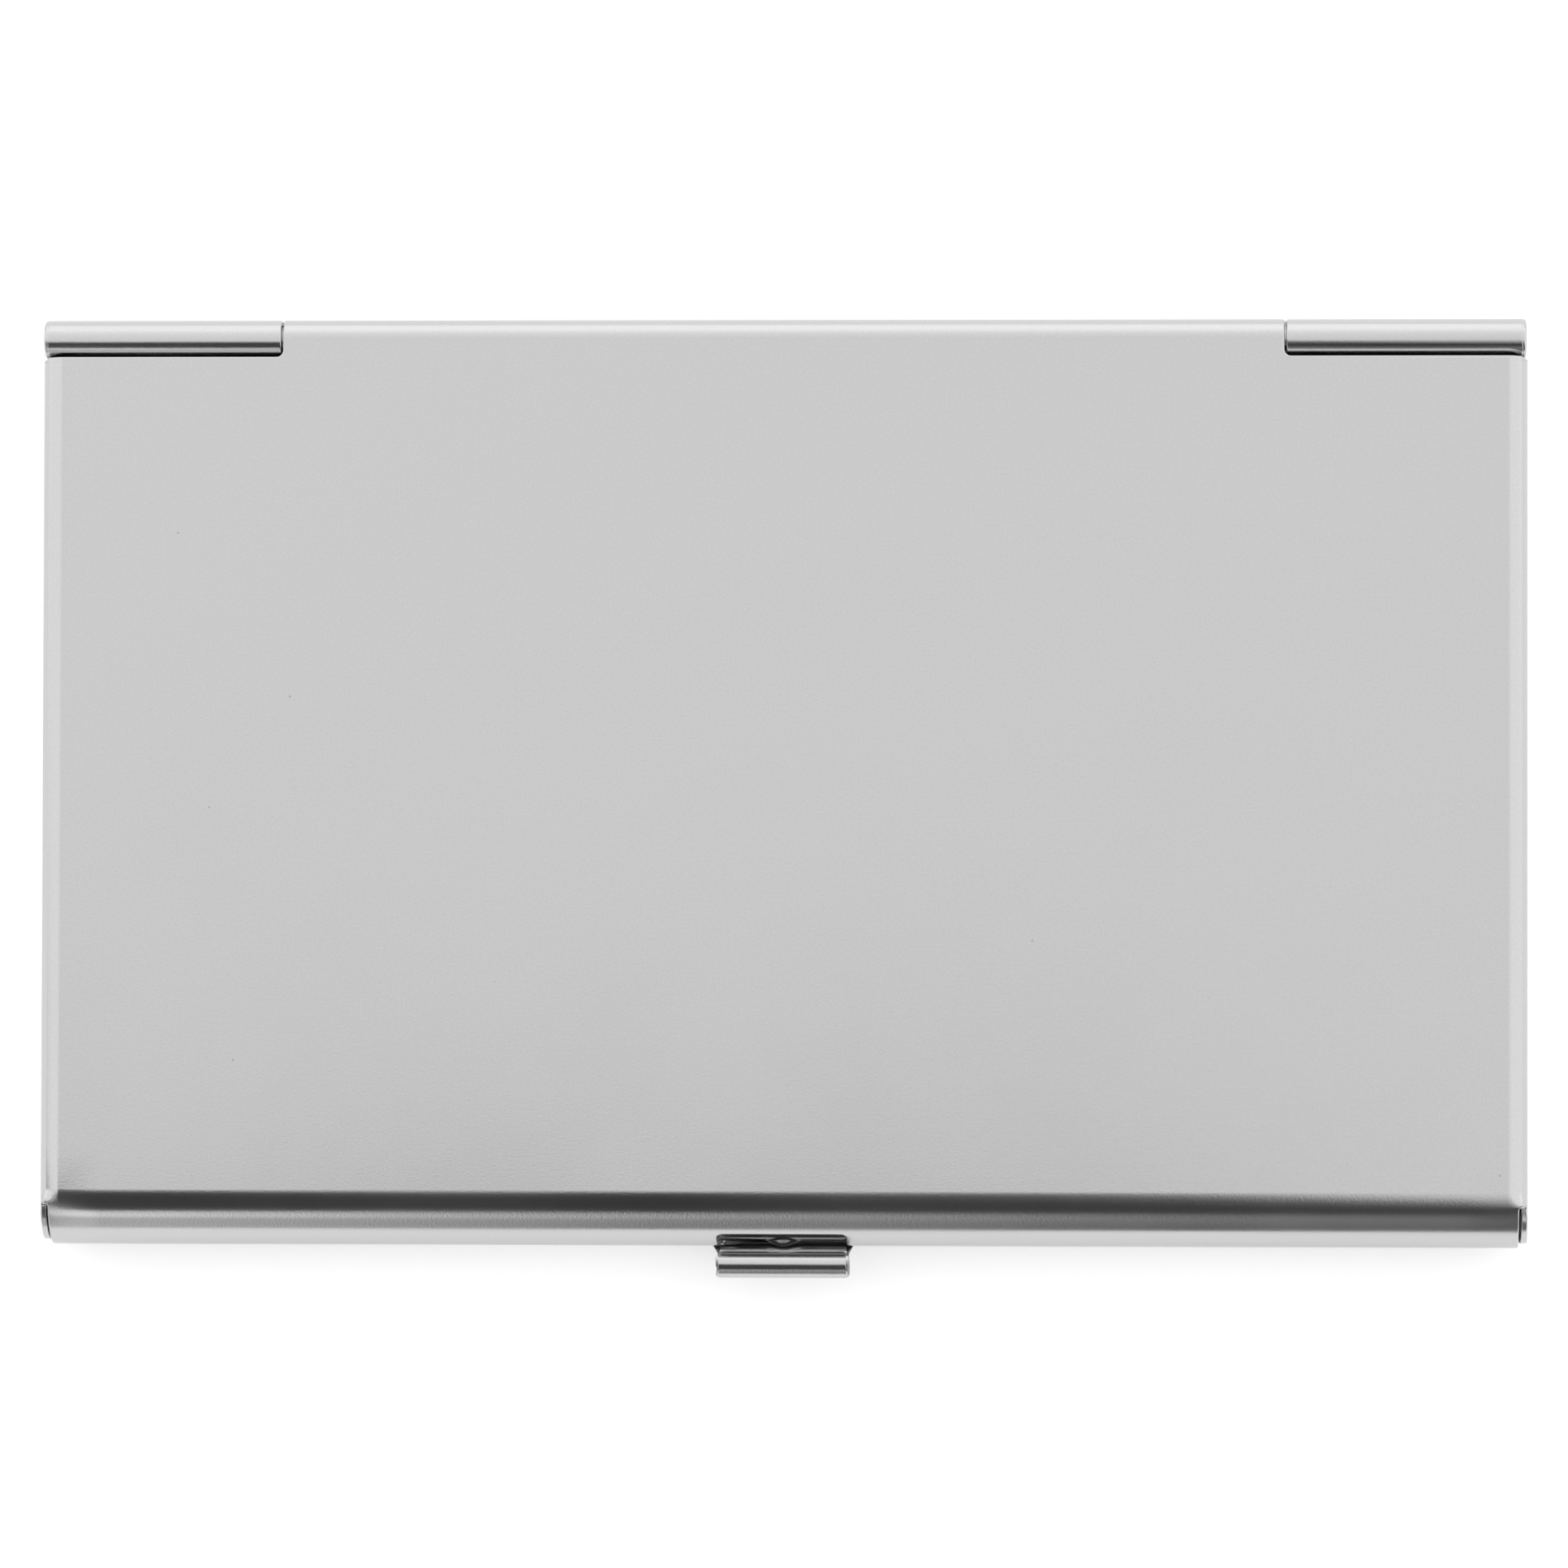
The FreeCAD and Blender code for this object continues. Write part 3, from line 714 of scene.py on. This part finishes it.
def material(name, base, roughness, grain, grain_size, speck_spacing):
    """Plated or bare metal: fine grain in height and tone, faint smudges in the roughness,
    and a few tiny specks."""
    made = bpy.data.materials.new(name)
    made.use_nodes = True
    nodes = made.node_tree.nodes
    links = made.node_tree.links
    shader = nodes["Principled BSDF"]
    shader.inputs["Metallic"].default_value = 1.0
    place = nodes.new("ShaderNodeTexCoord").outputs["Object"]

    def noise(size, detail):
        node = nodes.new("ShaderNodeTexNoise")
        node.inputs["Scale"].default_value = 1 / (size * MM)
        node.inputs["Detail"].default_value = detail
        links.new(place, node.inputs["Vector"])
        return node.outputs["Fac"]

    fine = noise(grain_size, 2.0)
    bump = nodes.new("ShaderNodeBump")
    bump.inputs["Strength"].default_value = 1.0
    bump.inputs["Distance"].default_value = grain * MM
    links.new(fine, bump.inputs["Height"])
    links.new(bump.outputs["Normal"], shader.inputs["Normal"])

    smudges = map_range(nodes, NOISE_MIDDLE, roughness * 0.9, roughness * 1.15)
    links.new(noise(SMUDGE_SIZE, 4.0), smudges.inputs["Value"])
    links.new(smudges.outputs["Result"], shader.inputs["Roughness"])

    tone = map_range(nodes, NOISE_MIDDLE, base * 0.98, base * 1.02)
    links.new(fine, tone.inputs["Value"])
    dust = nodes.new("ShaderNodeTexVoronoi")
    dust.inputs["Scale"].default_value = 1 / (speck_spacing * MM)
    links.new(place, dust.inputs["Vector"])
    size = SPECK_RADIUS / speck_spacing
    speck = map_range(nodes, (size / 2, size), 0.72, 1.0)
    links.new(dust.outputs["Distance"], speck.inputs["Value"])
    colour = nodes.new("ShaderNodeMath")
    colour.operation = "MULTIPLY"
    links.new(tone.outputs["Result"], colour.inputs[0])
    links.new(speck.outputs["Result"], colour.inputs[1])
    links.new(colour.outputs["Value"], shader.inputs["Base Color"])
    return made


lid_chrome = material("lid_satin_chrome", 0.61, 0.19, 0.003, 0.14, 5.0)
base_chrome = material("base_satin_chrome", 0.61, 0.19, 0.003, 0.14, 4.3)
wire_steel = material("drawn_wire", 0.5, 0.3, 0.002, 0.1, 3.0)
for piece, node, body, slot, look in (
        (lid, "lid_shell", "lid", "lid_plating", lid_chrome),
        (base, "base_shell", "base", "base_plating", base_chrome),
        (wire, "hinge_pin", "base", "pin_steel", wire_steel)):
    piece.data.materials.append(look)
    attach(piece, body)
    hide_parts(node)

# ---------------------------------------------------------------- studio

FLOOR_SIZE = 3.0          # metres
FLOOR_GAP = 0.03          # so that the floor and the underside don't lie in one plane
FLOOR_TONE = 0.92
FLOOR_GLOW = 0.22         # lifts the floor to plain white, more so where it is seen directly
FLOOR_GLOW_SEEN = 0.4


def make_floor():
    """White paper.  It is clear from below, so that the underside can be looked at."""
    bpy.ops.mesh.primitive_plane_add(size=FLOOR_SIZE, location=(0, 0, -FLOOR_GAP * MM))
    floor = bpy.context.object
    floor.name = "floor"
    paper = bpy.data.materials.new("paper")
    paper.use_nodes = True
    nodes = paper.node_tree.nodes
    links = paper.node_tree.links
    shader = nodes["Principled BSDF"]
    shader.inputs["Base Color"].default_value = (FLOOR_TONE, FLOOR_TONE, FLOOR_TONE, 1)
    shader.inputs["Roughness"].default_value = 0.9
    shader.inputs["Specular IOR Level"].default_value = 0.0
    shader.inputs["Emission Color"].default_value = (1, 1, 1, 1)
    glow = map_range(nodes, (0.0, 1.0), FLOOR_GLOW, FLOOR_GLOW_SEEN)
    links.new(nodes.new("ShaderNodeLightPath").outputs["Is Camera Ray"], glow.inputs["Value"])
    links.new(glow.outputs["Result"], shader.inputs["Emission Strength"])
    below = nodes.new("ShaderNodeNewGeometry").outputs["Backfacing"]
    either = nodes.new("ShaderNodeMixShader")
    links.new(below, either.inputs["Fac"])
    links.new(shader.outputs["BSDF"], either.inputs[1])
    links.new(nodes.new("ShaderNodeBsdfTransparent").outputs["BSDF"], either.inputs[2])
    links.new(either.outputs["Shader"], nodes["Material Output"].inputs["Surface"])
    floor.data.materials.append(paper)


make_floor()

# The tent's brightness by pitch: degrees from straight up, towards the front, at which it has
# each level.  The left and right of the opening in front differ, and the walls close it in.
TENT_REAR = [(-180, 0.7), (-95, 1.35), (-60, 1.38), (-30, 1.07), (-12, 0.99)]
TENT_LEFT = TENT_REAR + [(0, 0.955), (40, 0.95), (60, 1.45), (64, 0.8), (88, 0.8), (96, 1.0),
                         (180, 0.7)]
TENT_RIGHT = TENT_REAR + [(2, 0.95), (12, 0.9), (40, 0.05), (45, 0.08), (65, 0.17), (90, 0.08),
                          (97, 1.0), (180, 0.7)]
TENT_WALLS = [(-180, 0.7), (-95, 0.85), (-78, 1.05), (-60, 1.4), (-30, 1.17), (0, 1.11), (60, 1.15),
              (95, 1.1), (180, 0.7)]
SPLIT = (-8.5, -1.5)      # yaw over which the opening changes from left to right
OPENING_YAW = 2.0
OPENING_HALF = (8.0, 20.0)      # half width of the opening: where the walls start, and are full
OPENING_WIDENS = 0.35     # degrees of width per degree of pitch
GREY_YAW = (-8.0, -18.0)  # a grey stand at the left of the front
GREY_PITCH = (7.0, 15.0)
GREY_END = (130.0, 110.0)
GREY_DEPTH = 0.55


def make_world():
    """Pale tent with a dark opening in front, where the camera and its operator stand."""
    world = bpy.data.worlds.new("studio")
    bpy.context.scene.world = world
    world.use_nodes = True
    nodes = world.node_tree.nodes
    links = world.node_tree.links
    background = nodes["Background"]

    def calculate(operation, *values):
        node = nodes.new("ShaderNodeMath")
        node.operation = operation
        for number, value in enumerate(values):
            if isinstance(value, (int, float)):
                node.inputs[number].default_value = value
            else:
                links.new(value, node.inputs[number])
        return node.outputs["Value"]

    def band(value, low_high):
        node = nodes.new("ShaderNodeMapRange")
        node.interpolation_type = "SMOOTHSTEP"
        node.inputs["From Min"].default_value = low_high[0]
        node.inputs["From Max"].default_value = low_high[1]
        links.new(value, node.inputs["Value"])
        return node.outputs["Result"]

    def ramp(value, stops):
        node = nodes.new("ShaderNodeValToRGB")
        elements = node.color_ramp.elements
        elements.remove(elements[0])
        for number, (pitch, level) in enumerate(stops):
            spot = (pitch + 180) / 360
            element = elements.new(spot) if number else elements[0]
            element.position = spot
            element.color = (level, level, level, 1)
        links.new(value, node.inputs["Fac"])
        return node.outputs["Color"]

    def mix(share, first, second):
        node = nodes.new("ShaderNodeMix")
        node.data_type = "RGBA"
        links.new(share, node.inputs["Factor"])
        links.new(first, node.inputs[6])
        links.new(second, node.inputs[7])
        return node.outputs[2]

    parts = nodes.new("ShaderNodeSeparateXYZ")
    links.new(nodes.new("ShaderNodeTexCoord").outputs["Generated"], parts.inputs["Vector"])
    x, y, z = parts.outputs
    degrees = 180 / math.pi
    pitch = calculate("MULTIPLY", calculate("ARCTAN2", calculate("MULTIPLY", y, -1.0), z), degrees)
    yaw = calculate("MULTIPLY", calculate("ARCSINE", x), degrees)
    spot = calculate("DIVIDE", calculate("ADD", pitch, 180.0), 360.0)

    front = mix(band(yaw, SPLIT), ramp(spot, TENT_LEFT), ramp(spot, TENT_RIGHT))
    spread = calculate("MULTIPLY", calculate("MAXIMUM", pitch, 0.0), -OPENING_WIDENS)
    aside = calculate("ABSOLUTE", calculate("ADD", yaw, -OPENING_YAW))
    beyond = band(calculate("ADD", aside, spread), OPENING_HALF)
    links.new(mix(beyond, front, ramp(spot, TENT_WALLS)), background.inputs["Color"])
    stand = calculate("MULTIPLY", band(yaw, GREY_YAW), band(pitch, GREY_PITCH))
    stand = calculate("MULTIPLY", stand, band(pitch, GREY_END))
    level = calculate("SUBTRACT", 1.0, calculate("MULTIPLY", stand, GREY_DEPTH))
    links.new(level, background.inputs["Strength"])


make_world()

FLAG_HEIGHT = 240.0
FLAG_CORNERS = [(-115, -42), (28, -42), (40, -88), (62, -165), (95, -200), (95, -283), (-115, -283)]


def make_flag():
    """Dark card above the front of the case, beside the lens.  Only reflections show it."""
    mesh = bpy.data.meshes.new("flag")
    corners = [(x * MM, y * MM, FLAG_HEIGHT * MM) for x, y in FLAG_CORNERS]
    mesh.from_pydata(corners, [], [range(len(corners))])
    flag = bpy.data.objects.new("flag", mesh)
    bpy.context.scene.collection.objects.link(flag)
    black = bpy.data.materials.new("black_card")
    black.use_nodes = True
    shader = black.node_tree.nodes["Principled BSDF"]
    shader.inputs["Base Color"].default_value = (0.02, 0.02, 0.02, 1)
    shader.inputs["Roughness"].default_value = 0.9
    flag.data.materials.append(black)
    flag.visible_camera = False
    flag.visible_shadow = False
    flag.visible_diffuse = False


make_flag()
bpy.context.scene.view_settings.view_transform = "Standard"

# ---------------------------------------------------------------- camera

DISTANCE = 600.0
VIEW_WIDTH = 97.9         # at the top of the case
VIEW_CENTRE = Vector((0.16, 0.86, HEIGHT))
TOWARDS_CAMERA = Vector((0.048, -0.031, 1.0)).normalized()
ROLL_ANGLE = 0.0024

lens = bpy.data.cameras.new("camera")
lens.sensor_width = 36.0
lens.lens = lens.sensor_width * DISTANCE / VIEW_WIDTH
lens.clip_start = 0.01
camera = bpy.data.objects.new("camera", lens)
bpy.context.scene.collection.objects.link(camera)
up = Vector((-ROLL_ANGLE, 1, 0))
up = (up - TOWARDS_CAMERA * up.dot(TOWARDS_CAMERA)).normalized()
across = up.cross(TOWARDS_CAMERA)
turn = Matrix((across, up, TOWARDS_CAMERA)).transposed().to_4x4()
camera.matrix_world = Matrix.Translation((VIEW_CENTRE + TOWARDS_CAMERA * DISTANCE) * MM) @ turn
bpy.context.scene.camera = camera
